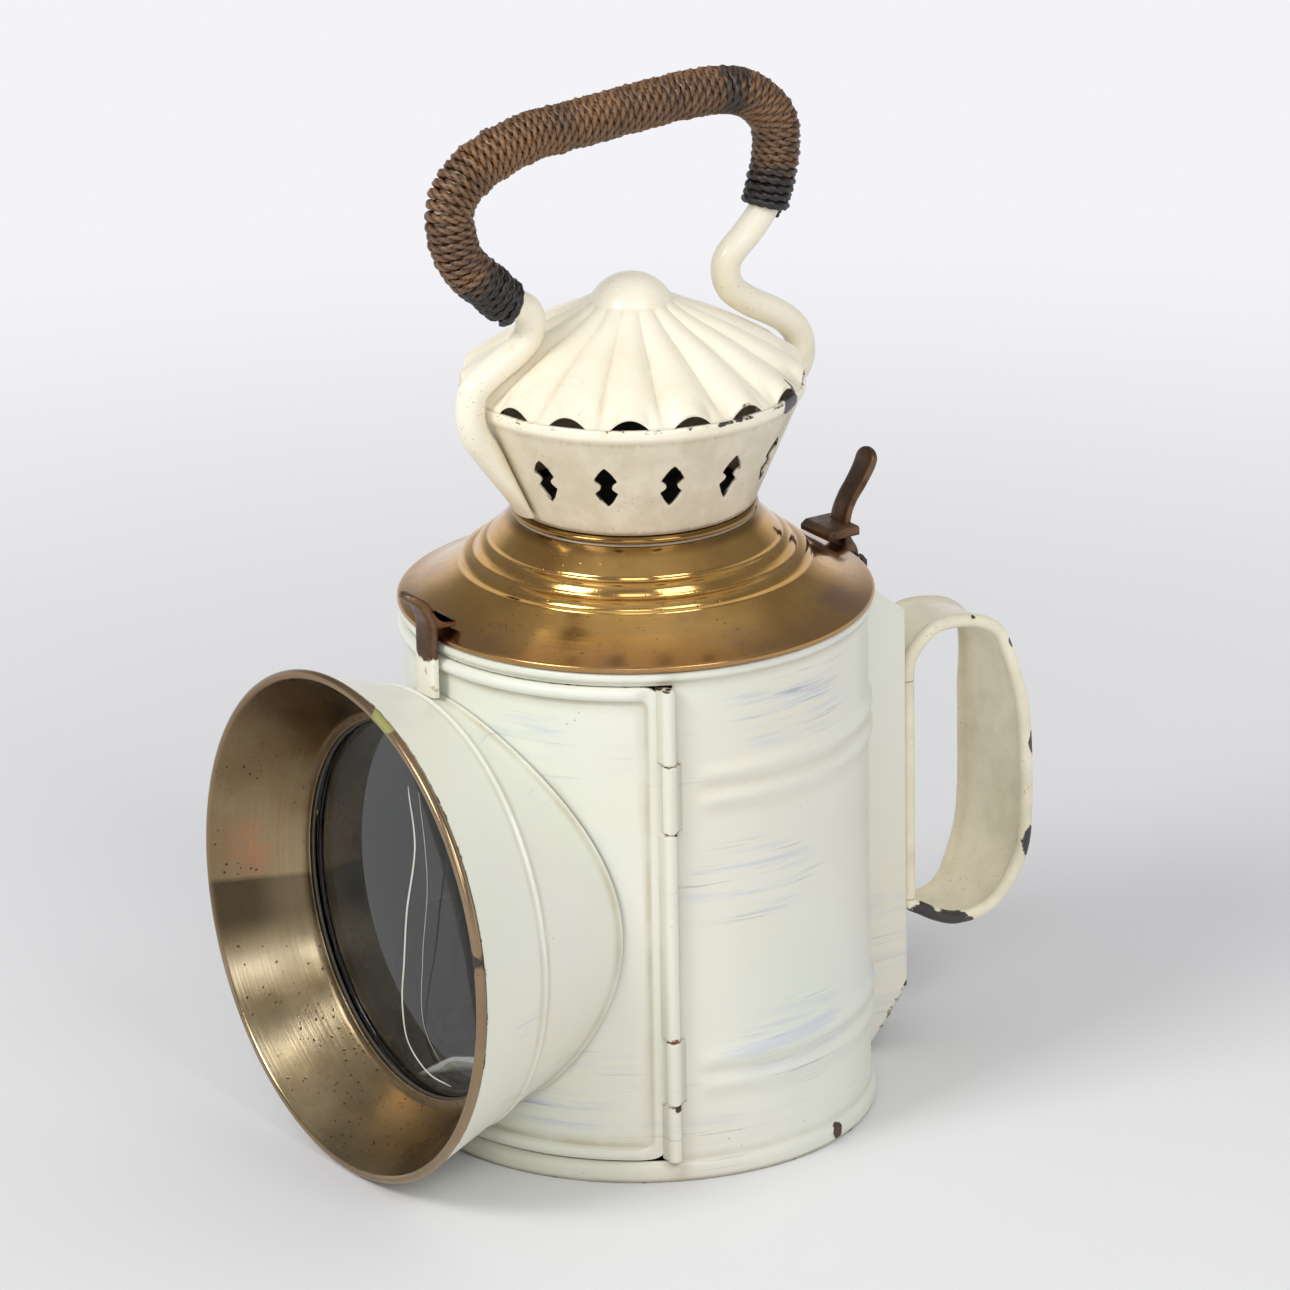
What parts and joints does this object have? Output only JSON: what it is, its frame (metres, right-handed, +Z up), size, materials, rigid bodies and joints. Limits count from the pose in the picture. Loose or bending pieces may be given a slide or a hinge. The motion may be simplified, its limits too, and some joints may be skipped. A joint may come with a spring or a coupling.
{
  "type": "signal lamp",
  "caption": "Hand signal lamp with a hooded lens on a hinged door, a turning brass shoulder, a fluted chimney cap, a cord-wound bail and a strap handle",
  "frame": {"origin": "centre of the underside of the base, on the lamp's upright axis", "axes": "+Z up along the lamp's axis, -Y the way the lens looks, +X to the side of the door's hinge"},
  "size_m": [0.1572, 0.2425, 0.3238],
  "materials": {
    "body_paint": "pale greenish-white brushed paint, streaked and chipped",
    "chimney_paint": "warm cream paint with small pits",
    "handle_paint": "yellowed cream paint chipped to dark metal",
    "shoulder_brass": "polished spun brass browning towards its brim",
    "liner_brass": "worn brass with traces of plating",
    "burner_brass": "dull brass",
    "clip_bronze": "dark brown bronze patina",
    "inner_steel": "dark tinned sheet",
    "lens_glass": "clear thick glass",
    "red_filter": "clear red glass",
    "green_filter": "clear green glass",
    "grip_cord": "tarred brown cord, close wound",
    "wick_cotton": "woven cotton",
    "gasket_packing": "dark packing"
  },
  "bodies": {
    "body": {"body_shell": "body_paint", "floor_plate": "inner_steel", "rear_socket": "body_paint", "handle_backing": "handle_paint", "handle_strap": "handle_paint", "catch_bracket": "body_paint", "catch_pin": "clip_bronze", "hinge_knuckle_lower": "body_paint", "hinge_knuckle_upper": "body_paint", "hinge_pin": "inner_steel", "font_seat": "inner_steel", "oil_font": "burner_brass", "filler_cap": "burner_brass", "burner_collar": "burner_brass", "wick_tube": "burner_brass", "flame_cone": "burner_brass", "reflector": "liner_brass", "reflector_post": "inner_steel"},
    "door": {"door_panel": "body_paint", "hood_shell": "body_paint", "hood_liner": "liner_brass", "lens_cell": "inner_steel", "lens": "lens_glass", "lens_gasket_front": "gasket_packing", "lens_gasket_rear": "gasket_packing", "front_clip": "clip_bronze"},
    "rear_lever": {"rear_catch": "clip_bronze"},
    "top": {"shoulder": "shoulder_brass", "shoulder_brim": "shoulder_brass", "shoulder_skirt": "inner_steel", "inner_chimney": "inner_steel", "chimney_cone": "chimney_paint", "fluted_cap": "chimney_paint", "cap_button": "chimney_paint", "bail_rod": "chimney_paint", "grip_winding": "grip_cord", "shade_ring": "inner_steel", "shade_frame": "inner_steel", "red_glass": "red_filter", "green_glass": "green_filter"},
    "wick_feed": {"wick_wheel": "burner_brass", "wick_spindle": "burner_brass", "wick_knob": "burner_brass"},
    "wick_strip": {"wick": "wick_cotton"}
  },
  "joints": [
    {"name": "door_swing", "type": "hinge", "parent": "body", "child": "door", "pos_m": [0.06514, -0.03149, 0.08], "axis": [0, 0, 1], "range_deg": [0, 110]},
    {"name": "top_turn", "type": "hinge", "parent": "body", "child": "top", "pos_m": [0, 0, 0.163], "axis": [0, 0, 1], "continuous": true},
    {"name": "catch_spring_back", "type": "hinge", "parent": "body", "child": "rear_lever", "pos_m": [0, 0.077, 0.159], "axis": [-1, 0, 0], "range_deg": [0, 50], "stiffness_Nm_per_rad": 0.2},
    {"name": "wick_feed_turn", "type": "hinge", "parent": "body", "child": "wick_feed", "pos_m": [0, -0.0036, 0.05], "axis": [1, 0, 0], "range_deg": [0, 159]},
    {"name": "wick_rise", "type": "slide", "parent": "body", "child": "wick_strip", "axis": [0, 0, 1], "range_m": [0, 0.008]}
  ],
  "couplings": [
    {"joint": "wick_feed_turn", "follows": "wick_rise", "rad_per_m": 344.83}
  ]
}
